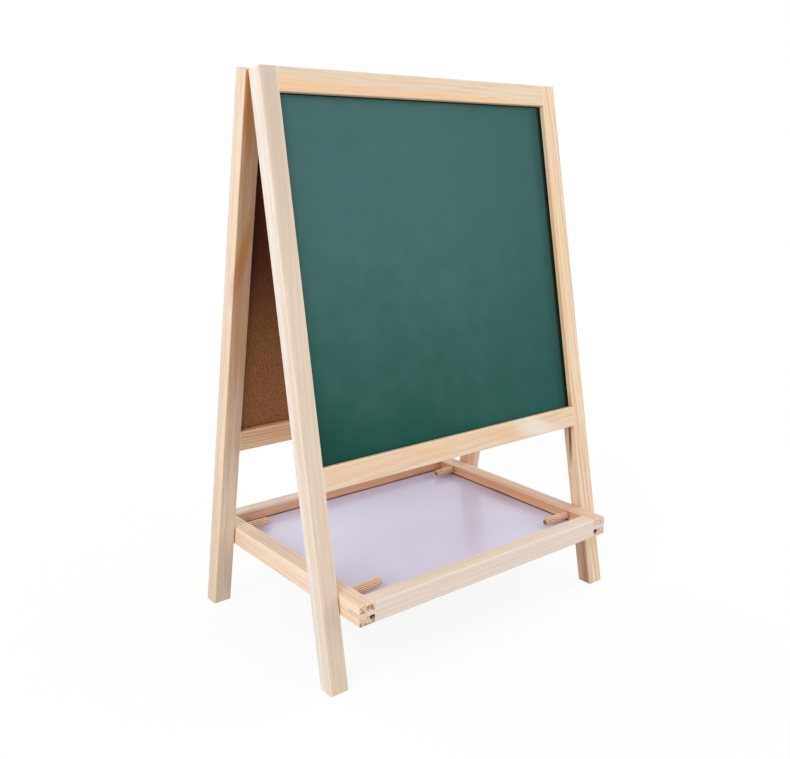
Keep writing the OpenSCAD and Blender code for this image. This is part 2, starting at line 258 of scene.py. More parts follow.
# %% Millimetres from the middle of a stick
def measure(node, along, out):
    """A turn into the stick's own directions, and its middle and half sizes there, in millimetres.

    The three directions are the rows of the turn R: across, out of the show face and along the
    grain. A corner p lies at 1000 R p, and the middle is halfway between the lowest and the highest.
    """
    turn = Matrix((out.cross(along), out, along))
    turned = corners(node) @ np.array(turn).T * MM
    low, high = turned.min(0), turned.max(0)
    return turn, Vector((high + low) / 2), [float(size) for size in (high - low) / 2]


def stick_space(finish, node, along, out):
    """Millimetres from the stick's middle: x across, y out of the show face and z along the grain.

    With the turn R and the middle m, a point p becomes 1000 R p - m. Gives it and the half sizes.
    """
    turn, middle, half = measure(node, along, out)
    mapping = finish.tree.nodes.new("ShaderNodeMapping")
    mapping.inputs["Rotation"].default_value = turn.to_euler("XYZ")
    mapping.inputs["Scale"].default_value = (MM, MM, MM)
    mapping.inputs["Location"].default_value = -middle
    finish.tree.links.new(finish.place, mapping.inputs["Vector"])
    return mapping.outputs[0], half


leg_half = measure("front_left_leg", FRONT_UP, FRONT_OUT)[2]
print("a front leg in millimetres:", [round(2 * size, 1) for size in leg_half])

# %% [markdown]
# ## Pine
# Pine is pale, with soft bands where a saw has cut through the growth rings. Painting stripes on
# each face would give the same stripes on all four sides. Instead the rings are a solid: each is a
# tube round a pith that lies beside the stick, bent a little along its length. Every face then shows
# its own cut through the same wood: fine straight lines where the rings stand square to it, long
# tongues where they lie flat, and arcs on the sawn ends. The wood near the pith often has another
# tint than the wood under the bark, so a stick that was sawn across their border has a warm side and
# a pale one, and one whose pith runs out of line turns from one to the other along its length. Broad
# tinted streaks cross a few sticks. Fibres are noise drawn out forty times along the grain, and the
# eased edges carry a painted highlight. Grooves and bores carry a painted shade.
# Noise gathers round 0.5 and seldom leaves 0.3 to 0.7. The two ends of a rise on noise therefore say
# how much of the wood takes a colour: a rise that starts late leaves only small specks.

# %% Planks that the sticks were sawn from
PLANKS = {
    # node: colours of the outer, the inner and the late wood; the pith from the stick's middle
    # (across, out) and how far it moves in one millimetre of length; the inner wood's radius and
    # the rings' width, in millimetres; and how strongly the rings show
    "front_left_leg": ("#e1ceb9", "#ebe1d7", "#bda48c", (17, -8), (-0.012, 0), 14.5, 3.1, 0.18),
    "front_right_leg": ("#eed7b7", "#b88463", "#c8986a", (20, 2), (0.055, 0), 5, 4.2, 0.45),
    "rear_left_leg": ("#e7d5c2", "#cfa27b", "#b98b64", (5, -12), (0, 0.035), 8.0, 3.0, 0.25),
    "rear_right_leg": ("#edd8b9", "#dcb08a", "#b98a5c", (-14, -8), (0.01, 0), 16, 2.8, 0.35),
    "front_top_rail": ("#e3d1b9", "#efc79b", "#cfa67c", (-20, 3), (-0.04, 0), 17.5, 3.4, 0.2),
    "front_lower_rail": ("#e9d2b8", "#e9ccac", "#cb9a70", (15, -10), (0.05, 0), 22.5, 3.6, 0.3),
    "rear_top_rail": ("#ead0ac", "#e3bd8d", "#c4956a", (16, 9), (0, 0), 18, 3.3, 0.35),
    "rear_lower_rail": ("#f1d0a8", "#edbf90", "#b97c4e", (-12, -15), (0.04, 0), 19, 2.2, 0.55),
    "tray_left_rail": ("#f7e4cd", "#f1dbc5", "#d59b6a", (19, -9), (0, 0), 17, 1.6, 0.5),
    "tray_right_rail": ("#f1dac0", "#e8ae82", "#b07242", (14.5, -1), (0.01, 0), 12.5, 1.7, 0.65),
    "tray_front_rail": ("#ebdbd0", "#f2e1cd", "#d2b49b", (7, 27), (0, 0), 21, 3.3, 0.3),
    "tray_rear_rail": ("#f3e4d4", "#e4af87", "#b07a50", (-15, -1), (0, 0), 12.5, 1.9, 0.5),
    "front_corner_dowels": ("#dcb184", "#cf9f70", "#a9764a", (3, 0), (0, 0), 3, 1.8, 0.4),
    "rear_corner_dowels": ("#dcb184", "#cf9f70", "#a9764a", (3, 0), (0, 0), 3, 1.8, 0.4),
}
STREAKS = {
    # node: each streak's colour and share, then its start, end and radius in the stick's millimetres
    "rear_left_leg": (("#d4bb9c", 0.8, (-7.4, -0.8, 400), (-7.4, 0.6, -400), 1.1),
                      ("#f0cb9c", 1.0, (-7.8, -6.6, 400), (-7.8, -6.6, -400), 3.4),
                      ("#cfa277", 1.0, (-3, -7.6, 540), (-3, -7.6, -110), 4.7),
                      ("#d9c4ad", 0.9, (-8, 0, -90), (-8, 0, -310), 9.0),
                      ("#c98548", 1.0, (-4, -6.2, 236), (-1, -6.2, 140), 4.5),
                      ("#c78c55", 0.9, (8, -6.2, 118), (-9, -6.2, 40), 5.5)),
    "front_left_leg": (("#cfbca8", 0.9, (-1, 6.2, 290), (1, 6.2, 60), 9.0),),
    "front_right_leg": (("#7a4022", 1.0, (7, 5.0, -46), (7, -3.0, -108), 3.0),
                        ("#e8bd86", 0.8, (6.8, 5.6, 230), (6.8, 5.6, -110), 4.0)),
    "front_lower_rail": (("#ece0d3", 0.8, (11, 6.2, 50), (-11, 6.2, 102), 11.0),
                         ("#e6b78e", 0.4, (6, 6.2, 14), (-8, 6.2, 66), 6.0),
                         ("#ecbd90", 0.4, (5, 6.2, -62), (-6, 6.2, -4), 6.0)),
}
SAWN_ENDS = {
    # node: pale and dark colours of its end grain, and how strongly they show
    "tray_left_rail": ("#f0cab2", "#85543f", 0.85),
    "tray_right_rail": ("#efe2d6", "#a98878", 0.7),
    "tray_front_rail": ("#e2d0be", "#d0b8a3", 0.7),
    "tray_rear_rail": ("#e2d0be", "#d0b8a3", 0.7),
    "front_left_leg": ("#f0e6da", "#cdb198", 0.7),
    "rear_left_leg": ("#f0e6da", "#cdb198", 0.7),
}
PLAIN_END = ("#e6cfb9", "#b58e72", 0.55)
widths = [plank[6] for plank in PLANKS.values()]
print("planks for", len(PLANKS), "nodes, with rings from", min(widths), "to", max(widths), "mm wide")

# %% Patterns in the wood
PATTERNS = {
    # pattern: how often it changes in one millimetre across, out and along; its detail and roughness
    "bend": ((0.016, 0.016, 0.007), 2.0, 0.5),           # slow bends of the pith
    "flame": ((0.3, 0.3, 0.005), 2.0, 0.5),              # inner and outer wood run into each other
    "fibre": ((1.3, 1.3, 0.03), 5.0, 0.65),
    "canal": ((3.5, 3.5, 0.12), 1.0, 0.5),               # resin canals are short brown dashes
    "ripple": ((0.12, 0.12, 0.03), 2.0, 0.5),            # ragged edges of the streaks
    "pore": ((0.4, 0.4, 0.4), 4.0, 0.7),                 # torn end grain, alike in all directions
}
PITH_SWAY = 10                          # millimetres sideways for the whole range of the noise
STREAK_SWAY = 5


def pattern(finish, seeded, name, colour=False):
    """The named noise at each point, as a number or as three of them."""
    scale, detail, roughness = PATTERNS[name]
    return finish.noise(seeded, scale, detail, roughness, colour)


def swayed(finish, place, seeded, name, reach):
    """The place moved sideways by reach times (noise - 0.5), and never along the grain."""
    noise = pattern(finish, seeded, name, colour=True)
    centred = finish.vector("SUBTRACT", noise, (0.5, 0.5, 0.5))
    return finish.vector("ADD", place, finish.vector("MULTIPLY", centred, (reach, reach, 0)))


print("patterns:", ", ".join(PATTERNS))


# %% Growth rings
BORDER = 3.5                            # half the width of the border round the inner wood, in mm
LATE_STARTS, LATE_ENDS = 0.2, 0.9       # part of a ring where late wood sets in, and is darkest
FAINTEST = 0.25                         # darkness of the faintest ring


def growth_rings(finish, bent, pith, drift, radius, ring):
    """Share of late wood and of inner wood at each point of a stick.

    The pith at length z is the pith at the middle plus z times its drift, and the cross product with
    (drift y, -drift x, 0) gives just that. The ring number is the distance from the pith over the
    ring width. Its fraction climbs slowly through the early wood and drops at once after the late
    wood, which is the dark band. A random weight for each whole number, squared, makes a few rings
    much darker than the rest.
    """
    moved = finish.vector("CROSS_PRODUCT", bent, (drift[1], -drift[0], 0.0))
    offset = finish.vector("SUBTRACT", finish.vector("SUBTRACT", bent, (*pith, 0.0)), moved)
    distance = finish.vector("LENGTH", finish.vector("MULTIPLY", offset, (1, 1, 0)))
    number = finish.math("DIVIDE", distance, ring)
    part = finish.math("FRACT", number)
    late = finish.math("MULTIPLY", finish.rise(part, LATE_STARTS, LATE_ENDS),
                       finish.rise(part, LATE_ENDS, 1.0, 1.0, 0.0))
    weight = finish.math("POWER", finish.chance(finish.math("FLOOR", number)), 2.0)
    late = finish.math("MULTIPLY", late, finish.math("ADD", FAINTEST, weight, clamp=True))
    return late, finish.rise(distance, radius - BORDER, radius + BORDER, 1.0, 0.0)


print("the border between inner and outer wood is", 2 * BORDER, "mm wide")


# %% Tinted streaks
CORE = 0.25                             # part of its radius where a streak has its full colour


def streak(finish, ragged, start, end, radius):
    """1 along the line from start to end, 0 from radius outwards, and tapered to nothing at its ends.

    With the offset o from the start and the line's unit vector u, the distance is the root of
    o . o - (o . u)^2, and the taper is 4 t (1 - t) with t = o . u over the line's length.
    """
    line = Vector(end) - Vector(start)
    offset = finish.vector("SUBTRACT", ragged, start)
    along = finish.vector("DOT_PRODUCT", offset, tuple(line.normalized()))
    squared = finish.math("SUBTRACT", finish.vector("DOT_PRODUCT", offset, offset),
                          finish.math("MULTIPLY", along, along))
    t = finish.math("DIVIDE", along, line.length, clamp=True)
    taper = finish.math("MULTIPLY", finish.math("MULTIPLY", t, 4.0), finish.math("SUBTRACT", 1.0, t))
    near = finish.rise(finish.math("SQRT", squared), CORE * radius, radius, 1.0, 0.0)
    return finish.math("MULTIPLY", near, taper)


print("streaks:", {node: len(streaks) for node, streaks in STREAKS.items()})


# %% Colour of the wood
FLAMES = (0.35, 0.65)                   # where the noise of a pattern starts and ends to count
FLAME_SHARE = 0.2                       # what flames add to the inner wood's share, or take from it
FIBRES, FIBRE_SHARE = (0.42, 0.7), 0.3
CANALS, CANAL_SHARE, CANAL_COLOUR = (0.66, 0.78), 0.2, "#b08358"


def wood_colour(finish, node, place, seeded):
    """Colour of the solid wood at each point, and its late wood and fibre for the relief."""
    outer, inner, late_wood, pith, drift, radius, ring, bands = PLANKS[node]
    bent = swayed(finish, place, seeded, "bend", PITH_SWAY)
    late, inner_share = growth_rings(finish, bent, pith, drift, radius, ring)
    flame = finish.rise(pattern(finish, seeded, "flame"), *FLAMES, -FLAME_SHARE, FLAME_SHARE)
    inner_share = finish.math("ADD", inner_share, flame, clamp=True)
    fibre = pattern(finish, seeded, "fibre")
    canal = finish.rise(pattern(finish, seeded, "canal"), *CANALS)
    colour = finish.mix(inner_share, paint(outer), paint(inner))
    colour = finish.mix(finish.math("MULTIPLY", late, bands), colour, paint(late_wood))
    colour = finish.mix(finish.rise(fibre, *FIBRES, 0.0, FIBRE_SHARE), colour, paint(late_wood))
    colour = finish.mix(finish.math("MULTIPLY", canal, CANAL_SHARE), colour, paint(CANAL_COLOUR))
    ragged = swayed(finish, place, seeded, "ripple", STREAK_SWAY)
    for tint, share, start, end, width in STREAKS.get(node, ()):
        near = streak(finish, ragged, start, end, width)
        colour = finish.mix(finish.math("MULTIPLY", near, share), colour, paint(tint))
    return colour, late, fibre


print("outer and inner wood of the front left leg:", PLANKS["front_left_leg"][:2])


# %% Sawn ends and walls
GROOVE_FLOOR = 3.2                      # height of the tray's groove above the rail's underside
WALL_DEPTHS = (0.65, 1.1)               # millimetres inside the stick's box: painted wall shade starts, is full
TRAY_DEPTHS = (0.4, 0.7)                # the same for the tray's rails
WALL_DARKNESS, TRAY_DARKNESS = 0.8, 0.85
FLOOR_DARKNESS = 0.15                   # part of the painted shade that reaches the groove's floor, which meets the light
LATE_DARKNESS, PORE_DARKNESS = 0.45, 0.9


def end_grain(finish, node, seeded, late):
    """Colour of the sawn ends, how strongly this stick shows it, and the noise of its pores.

    Late wood and pores are dark there, and their sum is kept within 1.
    """
    pale, dark, share = SAWN_ENDS.get(node, PLAIN_END)
    pores = pattern(finish, seeded, "pore")
    darkness = finish.math("ADD", finish.math("MULTIPLY", late, LATE_DARKNESS),
                           finish.rise(pores, 0.42, 0.6, 0.0, PORE_DARKNESS), clamp=True)
    return finish.mix(darkness, paint(pale), paint(dark)), share, pores


def painted_wall_shade(finish, node, deep, y, half):
    """Painted shade on grooves and bores, which are the faces that lie deep inside the stick's own box.

    The tray's grooves are shallow, so they darken sooner. Their floor meets the light and is paler.
    """
    if not node.startswith("tray"):
        return finish.rise(deep, *WALL_DEPTHS, 0.0, WALL_DARKNESS)
    above = finish.math("ADD", y, half[1] - GROOVE_FLOOR)
    return finish.math("MULTIPLY", finish.rise(deep, *TRAY_DEPTHS, 0.0, TRAY_DARKNESS),
                       finish.rise(above, 0.1, 0.9, FLOOR_DARKNESS, 1.0))


print("the tray's groove starts", GROOVE_FLOOR, "mm above the rails' underside")


# %% Pine finish
EDGE_HIGHLIGHT_REACH = (0.3, 1.5)                # millimetres from an edge: painted highlight palest, and no longer
EDGE_HIGHLIGHT_SHARE, EDGE_HIGHLIGHT_COLOUR = 0.4, "#f6e6cf"
ACROSS_GRAIN = (0.7, 0.92)              # how squarely a face has to cross the grain to count as sawn
# Colour of the painted shade in grooves and bores.
WALL_SHADE_COLOUR = "#38180a"
WOOD_ROUGHNESS = (0.5, 0.66)            # between fibres, and on them
RELIEF = 0.00012                        # depth of fibres in the surface, in metres
SEED_REACH = 90                         # millimetres; each stick takes its noise from another place


def pine(node, along, out, seed):
    """Solid pine for one stick, with a painted highlight on the eased edges, end grain, and painted
    shade in grooves and bores.
    """
    finish = Finish("pine_" + node)
    place, half = stick_space(finish, node, along, out)
    apart = tuple(np.random.default_rng(seed).uniform(-SEED_REACH, SEED_REACH, 3))
    seeded = finish.vector("ADD", place, apart)
    colour, late, fibre = wood_colour(finish, node, place, seeded)

    x, y, z = finish.parts(place)
    to_side = finish.math("SUBTRACT", half[0], finish.math("ABSOLUTE", x))
    to_face = finish.math("SUBTRACT", half[1], finish.math("ABSOLUTE", y))
    to_end = finish.math("SUBTRACT", half[2], finish.math("ABSOLUTE", z))
    # A painted highlight makes the eased edges paler.
    edge_highlight = finish.rise(finish.math("MAXIMUM", to_side, to_face), *EDGE_HIGHLIGHT_REACH, 1.0, 0.0)
    colour = finish.mix(finish.math("MULTIPLY", edge_highlight, EDGE_HIGHLIGHT_SHARE), colour, paint(EDGE_HIGHLIGHT_COLOUR))

    slope = finish.math("ABSOLUTE", finish.vector("DOT_PRODUCT", finish.facing, tuple(along)))
    sawn = finish.rise(slope, *ACROSS_GRAIN)
    end_colour, end_share, pores = end_grain(finish, node, seeded, late)
    colour = finish.mix(finish.math("MULTIPLY", sawn, end_share), colour, end_colour)

    if "dowels" not in node:
        # Painted shade on the walls of grooves and bores.
        deep = finish.math("MINIMUM", finish.math("MINIMUM", to_side, to_face), to_end)
        colour = finish.mix(painted_wall_shade(finish, node, deep, y, half), colour, paint(WALL_SHADE_COLOUR))

    finish.set(base_color=colour, roughness=finish.rise(fibre, 0.3, 0.7, *WOOD_ROUGHNESS), ior=1.5)
    torn = finish.math("MULTIPLY", sawn, finish.math("MULTIPLY", pores, 1.5))
    height = finish.math("ADD", fibre, finish.math("MULTIPLY", late, 0.5))
    finish.bump(finish.math("ADD", height, torn), RELIEF)
    finish.give(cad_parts[node])


for seed, node in enumerate(PLANKS):
    rear = node.startswith("rear")
    if node.endswith("leg"):
        along, out = (REAR_UP, REAR_OUT) if rear else (FRONT_UP, FRONT_OUT)
    elif node.startswith("tray"):
        along, out = (DEEP if node in ("tray_left_rail", "tray_right_rail") else ACROSS), UPRIGHT
    else:
        along, out = ACROSS, (REAR_OUT if rear else FRONT_OUT)
    pine(node, along, out, seed)
print("pine on", len(PLANKS), "nodes")

# %% [markdown]
# ## Boards
# All three boards are hardboard: brown pressed fibre, smooth on the show side and pressed against a
# wire screen on the back. The show side is painted green, or covered with a white film. One solid
# node carries both, and the side is told by how far a point lies from the board's middle plane, so
# the brown also shows on the sawn edges. A painted shade runs along the groove as a dark seam,
# where the frame shades the board.

# %% Raw hardboard
SCREEN_PITCH = 1.6                      # millimetres from one wire of the screen to the next
SCREEN_DEPTH = 0.35                     # height of the print beside that of the fibres
SHADED_TOP = (-75.0, 25.0)                # heights where the painted shade at the top starts, and where it is full
FIBRE_BROWNS = {"dark": "#613514", "light": "#c48a58", "speck": "#3a1a08", "cloud": "#9d6540",
                "top": "#4a1000"}
FIBRE_SHARES = {"speck": 0.75, "cloud": 0.25, "top": 0.85}
PATTERNS.update({
    "pressed fibre": ((1.4, 1.4, 1.4), 5.0, 0.75),
    "speck": ((1.2, 1.2, 1.2), 3.0, 0.7),
    "brown cloud": ((0.03, 0.03, 0.03), 2.0, 0.5),
})


def fibreboard(finish, place):
    """Colour and height of the raw back: coarse fibres, dark specks and a square screen print.

    A painted shade makes it darker and redder towards the top, where the frames meet. The print
    is sin(x) sin(z), with one wave of each to a wire.
    """
    brown = {name: paint(code) for name, code in FIBRE_BROWNS.items()}
    fibres = pattern(finish, place, "pressed fibre")
    colour = finish.mix(finish.rise(fibres, 0.37, 0.63), brown["dark"], brown["light"])
    specks = finish.rise(pattern(finish, place, "speck"), 0.52, 0.64, 0.0, FIBRE_SHARES["speck"])
    colour = finish.mix(specks, colour, brown["speck"])
    clouds = finish.rise(pattern(finish, place, "brown cloud"), 0.3, 0.7, 0.0, FIBRE_SHARES["cloud"])
    colour = finish.mix(clouds, colour, brown["cloud"])
    x, _, z = finish.parts(place)
    # Painted shade: darker and redder towards the top, where the frames meet.
    colour = finish.mix(finish.rise(z, *SHADED_TOP, 0.0, FIBRE_SHARES["top"]), colour, brown["top"])
    turns = 2 * math.pi / SCREEN_PITCH
    wires = finish.math("MULTIPLY", finish.math("SINE", finish.math("MULTIPLY", x, turns)),
                        finish.math("SINE", finish.math("MULTIPLY", z, turns)))
    return colour, finish.math("ADD", finish.math("MULTIPLY", wires, SCREEN_DEPTH), fibres)


print("the screen on the back has a wire every", SCREEN_PITCH, "mm")


# %% Green paint
# The paint's own green, the paler green of a painted reflection at the top, and darker greens for the
# right side and the lower left corner.
GREENS = {"clean": "#27594f", "hazy": "#446968", "right": "#1f5450", "wiped": "#0b463b"}
GREEN_SHARES = {"right": 0.45, "wiped": 0.75}
PAINT_ROUGHNESS = 0.55
PEEL_DEPTH = 0.2                        # height of the orange peel beside that of bare fibres
CLOUD_SHIFT = 10.0                      # millimetres up and down
MOTTLING = 0.12                         # what it adds to the painted sheen, or takes from it
CORNER_SLOPE = -0.25                    # how fast the darker corner's edge climbs towards the left
# Where a tint starts and ends, in half boards from the board's middle:
SHEEN_HEIGHTS = (-0.95, 0.45)                    # no painted sheen at the first height, full at the second
RIGHT = (-1.1, 0.24)                    # x runs to the left here, so the right edge is at -1
CORNER_HEIGHTS = (-1.2, -0.7)
PATTERNS.update({
    "haze cloud": ((0.01, 0.01, 0.01), 2.0, 0.5),
    "orange peel": ((1.6, 1.6, 1.6), 2.0, 0.5),
    "mottling": ((0.05, 0.05, 0.05), 4.0, 0.6),
})


def halves(bounds, half):
    """Bounds in half boards as millimetres."""
    return [bound * half for bound in bounds]


def chalk_paint(finish, place, half):
    """Rolled green paint with a fine orange peel. A painted reflection lightens it towards the top, and
    the green darkens to the right.

    The lower left corner, seen from the front, is darker still. Clouds shift the painted reflection up
    and down, and mottling makes it denser or thinner.
    """
    green = {name: paint(code) for name, code in GREENS.items()}
    x, _, z = finish.parts(place)
    clouds = pattern(finish, place, "haze cloud")
    height = finish.math("ADD", z, finish.rise(clouds, 0.3, 0.7, -CLOUD_SHIFT, CLOUD_SHIFT))
    mottling = finish.rise(pattern(finish, place, "mottling"), 0.35, 0.65, -MOTTLING, MOTTLING)
    # Painted sheen: a painted reflection that fades downwards.
    painted_sheen = finish.math("ADD", finish.rise(height, *halves(SHEEN_HEIGHTS, half[2])), mottling, clamp=True)
    colour = finish.mix(painted_sheen, green["clean"], green["hazy"])
    to_right = finish.rise(x, *halves(RIGHT, half[0]), GREEN_SHARES["right"], 0.0)
    colour = finish.mix(to_right, colour, green["right"])
    corner = finish.math("ADD", height, finish.math("MULTIPLY", x, CORNER_SLOPE))
    wiped = finish.rise(corner, *halves(CORNER_HEIGHTS, half[2]), GREEN_SHARES["wiped"], 0.0)
    colour = finish.mix(wiped, colour, green["wiped"])
    peel = pattern(finish, place, "orange peel")
    return colour, PAINT_ROUGHNESS, finish.math("MULTIPLY", peel, PEEL_DEPTH)


print("greens:", ", ".join(GREENS))


# %% White film
# Cool and warm tones of the film, and the grey of a painted shade.
WHITES = {"cool": "#e4e1f8", "warm": "#e0dcf4", "worn": "#c2b9d4"}
FILM_SHADE_SHARE = 0.6
FILM_SHADE_HEIGHTS = (-0.1, 1.2)                      # where the painted shade starts and is full, in half boards
FILM_SHADE_SLOPE = 0.5                        # how much it leans to one side
FILM_ROUGHNESS = 0.2
WAVE_DEPTH = 0.5                        # height of the waves beside that of bare fibres
PATTERNS.update({
    "film cloud": ((0.012, 0.012, 0.012), 2.0, 0.5),
    "wave": ((0.05, 0.05, 0.05), 2.0, 0.5),
})


def white_film(finish, place, half):
    """Smooth white film, waved by the hardboard under it, with a painted shade that greys it towards
    one far corner.
    """
    white = {name: paint(code) for name, code in WHITES.items()}
    x, _, z = finish.parts(place)
    clouds = finish.rise(pattern(finish, place, "film cloud"), 0.35, 0.65)
    colour = finish.mix(clouds, white["cool"], white["warm"])
    far = finish.math("SUBTRACT", z, finish.math("MULTIPLY", x, FILM_SHADE_SLOPE))
    # Painted shade: greyer towards one far corner.
    worn = finish.rise(far, *halves(FILM_SHADE_HEIGHTS, half[2]), 0.0, FILM_SHADE_SHARE)
    colour = finish.mix(worn, colour, white["worn"])
    waves = pattern(finish, place, "wave")
    return colour, FILM_ROUGHNESS, finish.math("MULTIPLY", waves, WAVE_DEPTH)


print("whites:", ", ".join(WHITES))


# %% Painted shade along the groove
GAP = (0.4, 1.3)                        # from the groove's mouth, in seam widths: dark until, gone at
GAP_DARKNESS = 0.95
SHADOW_REACH, SHADOW_DARKNESS = 3.5, 0.35
REST_DARKNESS = 0.5                     # along the bottom, where the board rests on its rail


def painted_groove_shade(finish, node, post, place, half, seam_width, right_width):
    """Darkness of the painted shade along the seam, from 0 away from the groove to the gap's own at its
    mouth.

    The mouth lies as far inside the board's edge as the board reaches into the post beside it. The
    seam is open at the top and the sides, where it can be wider on the right, and nearly closed
    along the bottom, where the board rests. A softer and wider shadow lies beside the open part.
    """
    tucked = (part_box(post)[1].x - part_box(node)[0].x) * MM
    x, _, z = finish.parts(place)
    to_left = finish.math("SUBTRACT", half[0] - tucked, x)
    to_right = finish.math("ADD", half[0] - tucked, x)
    narrow = seam_width / right_width
    to_side = finish.math("MINIMUM", to_left, finish.math("MULTIPLY", to_right, narrow))
    to_top = finish.math("SUBTRACT", half[2] - tucked, z)
    to_bottom = finish.math("ADD", half[2] - tucked, z)
    inside = finish.math("MINIMUM", to_side, to_top)
    gap = finish.rise(inside, GAP[0] * seam_width, GAP[1] * seam_width, GAP_DARKNESS, 0.0)
    shadow = finish.rise(inside, 0.0, SHADOW_REACH * seam_width, SHADOW_DARKNESS, 0.0)
    rest = finish.rise(to_bottom, 0.0, seam_width, REST_DARKNESS, 0.0)
    print(node, "is tucked", round(tucked, 2), "mm into its groove")
    return finish.math("MAXIMUM", finish.math("MAXIMUM", gap, shadow), rest)


# %% Board finish
COAT = (0.25, 0.1)                      # millimetres under the show face: it has ended, is full
RAW_ROUGHNESS = 0.8


def board(node, up, out, post, show, specular, seam_shade_colour, seam_width, right_width):
    """A board with its show colour in front and raw fibre behind and on its edges."""
    finish = Finish("finish_" + node)
    place, half = stick_space(finish, node, up, out)
    y = finish.parts(place)[1]
    front = finish.rise(y, half[1] - COAT[0], half[1] - COAT[1])
    back = finish.math("SUBTRACT", 1.0, front)
    raw, raw_height = fibreboard(finish, place)
    film, film_roughness, film_height = show(finish, place, half)
    seam = painted_groove_shade(finish, node, post, place, half, seam_width, right_width)
    # Painted shade along the groove, over the show colour.
    film = finish.mix(seam, film, paint(seam_shade_colour))
    finish.set(base_color=finish.mix(front, raw, film),
               roughness=finish.rise(front, 0.0, 1.0, RAW_ROUGHNESS, film_roughness),
               specular_ior_level=specular)
    finish.bump(finish.math("ADD", finish.math("MULTIPLY", front, film_height),
                            finish.math("MULTIPLY", back, raw_height)), RELIEF)
    finish.give(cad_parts[node])


# The colour after each finish is that of the painted shade along its groove.
board("chalkboard", FRONT_UP, FRONT_OUT, "front_left_leg", chalk_paint, 0.08, "#050f0b", 1.2, 5.0)
board("whiteboard", REAR_UP, REAR_OUT, "rear_left_leg", white_film, 0.3, "#7a5a48", 0.8, 0.8)
board("tray_panel", DEEP, UPRIGHT, "tray_left_rail", white_film, 0.5, "#8a6a5c", 0.7, 0.7)

# %% [markdown]
# ## Hinges and screws
# The hinges and their screws are steel with a bright zinc plating. They are metal all over, so the
# metalness is one number on the shader itself. A picture of metal could be wrapped round each leaf,
# but noise needs no unwrapping: drawn out along the pin it gives the brushing, and in clouds it
# gives the duller patches.

# %% Zinc-plated steel
BRUSHING = (180, 6000, 6000)            # changes in one metre along the pin, and across it
CLOUDING = (160, 160, 160)
ZINC, DULL_ZINC = "#c4c4c2", "#a9adb0"
BRUSH_ROUGHNESS = (0.22, 0.4)           # between the scratches, and on them
DULLING = 0.1                           # what the clouds add to it
BRUSH_DEPTH = 0.00002                   # metres


def plated(name, nodes):
    """Zinc plate: brushed along X, duller in the cloudy patches."""
    finish = Finish(name)
    brush = finish.noise(finish.place, BRUSHING, 3.0, 0.6)
    patch = finish.noise(finish.place, CLOUDING, 2.0)
    colour = finish.mix(finish.rise(patch, 0.35, 0.7), paint(ZINC), paint(DULL_ZINC))
    rough = finish.math("ADD", finish.rise(brush, 0.3, 0.7, *BRUSH_ROUGHNESS),
                        finish.rise(patch, 0.4, 0.7, 0.0, DULLING))
    finish.set(base_color=colour, roughness=rough, metallic=1.0)
    finish.bump(brush, BRUSH_DEPTH)
    finish.give(*(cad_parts[node] for node in nodes))


HARDWARE = [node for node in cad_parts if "hinge" in node]
plated("zinc_plate", HARDWARE)
print("zinc plate on", len(HARDWARE), "nodes")

# %% [markdown]
# ## Pegs
# A fluted peg is rolled from a hardwood rod: its flutes are shallow round-bottomed valleys, and its
# ends taper so that it starts easily in its bore. Cutting twelve grooves out of a cylinder works,
# but their edges stay sharp. Here the peg is one surface whose radius depends on the angle and on
# the distance from the end, which gives soft lips between the flutes.

# %% Peg surface
FLUTES = 12
FLUTE_DEPTH = 0.0005
TIP_LENGTH = 0.002
TIP_RADIUS = 0.0018
TIP_ROUND = 0.0003                      # the flat end's rim is rounded over this much
VALLEY_POWER = 10                       # the higher, the narrower each flute
SOFTENED = 0.25                         # the taper meets the body softly over this part of its length
POINTS_PER_FLUTE = 16
RIM_ROWS, SLOPE_ROWS, BODY_ROWS = 5, 9, 12


def peg_surface(length, radius):
    """Closed surface of a peg along +X from the origin, as vertices and faces.

    At angle t and distance s the radius is p(s) - d v(t) w(s). p rises in a straight line from the
    tip's radius to the peg's. A quarter circle rounds it at the rim of the flat end, and a parabola
    where it meets the body. v is a narrow valley, cos(6 t) ** 10 for twelve flutes, and w fades the
    flutes out along the taper.
    """
    around = POINTS_PER_FLUTE * FLUTES
    taper = (1 + SOFTENED) * TIP_LENGTH
    rim = TIP_ROUND * (1 - np.cos(np.linspace(0, math.pi / 2, RIM_ROWS)))
    slope = np.linspace(TIP_ROUND, taper, SLOPE_ROWS)[1:]
    body = np.linspace(taper, length - taper, BODY_ROWS)[1:-1]
    s = np.concatenate([rim, slope, body, length - slope[::-1], length - rim[::-1]])[:, None]
    t = np.linspace(0, 2 * math.pi, around, endpoint=False)[None, :]
    near = np.minimum(s, length - s)
    climb = np.clip(near / TIP_LENGTH, 0, 1 + SOFTENED)
    soft = 1 - (1 + SOFTENED - climb) ** 2 / (4 * SOFTENED)
    climb = np.where(climb < 1 - SOFTENED, climb, soft)
    corner = TIP_ROUND * (1 - np.sqrt(1 - (1 - np.clip(near / TIP_ROUND, 0, 1)) ** 2))
    profile = TIP_RADIUS + (radius - TIP_RADIUS) * climb - corner
    valley = np.cos(FLUTES / 2 * t) ** VALLEY_POWER * np.clip(near / TIP_LENGTH, 0, 1)
    r = profile - FLUTE_DEPTH * valley
    rings = np.stack([s + 0 * t, r * np.cos(t), r * np.sin(t)], axis=-1)
    rows = len(s)
    points = np.concatenate([rings.reshape(-1, 3), [[0, 0, 0], [length, 0, 0]]])
    index = np.arange(rows * around).reshape(rows, around)
    ahead = np.roll(index, -1, axis=1)
    sides = np.stack([index[:-1], index[1:], ahead[1:], ahead[:-1]], axis=-1).reshape(-1, 4)
    start = np.stack([np.full(around, rows * around), index[0], ahead[0]], axis=-1)
    end = np.stack([np.full(around, rows * around + 1), ahead[-1], index[-1]], axis=-1)
    return points, sides.tolist() + start.tolist() + end.tolist()


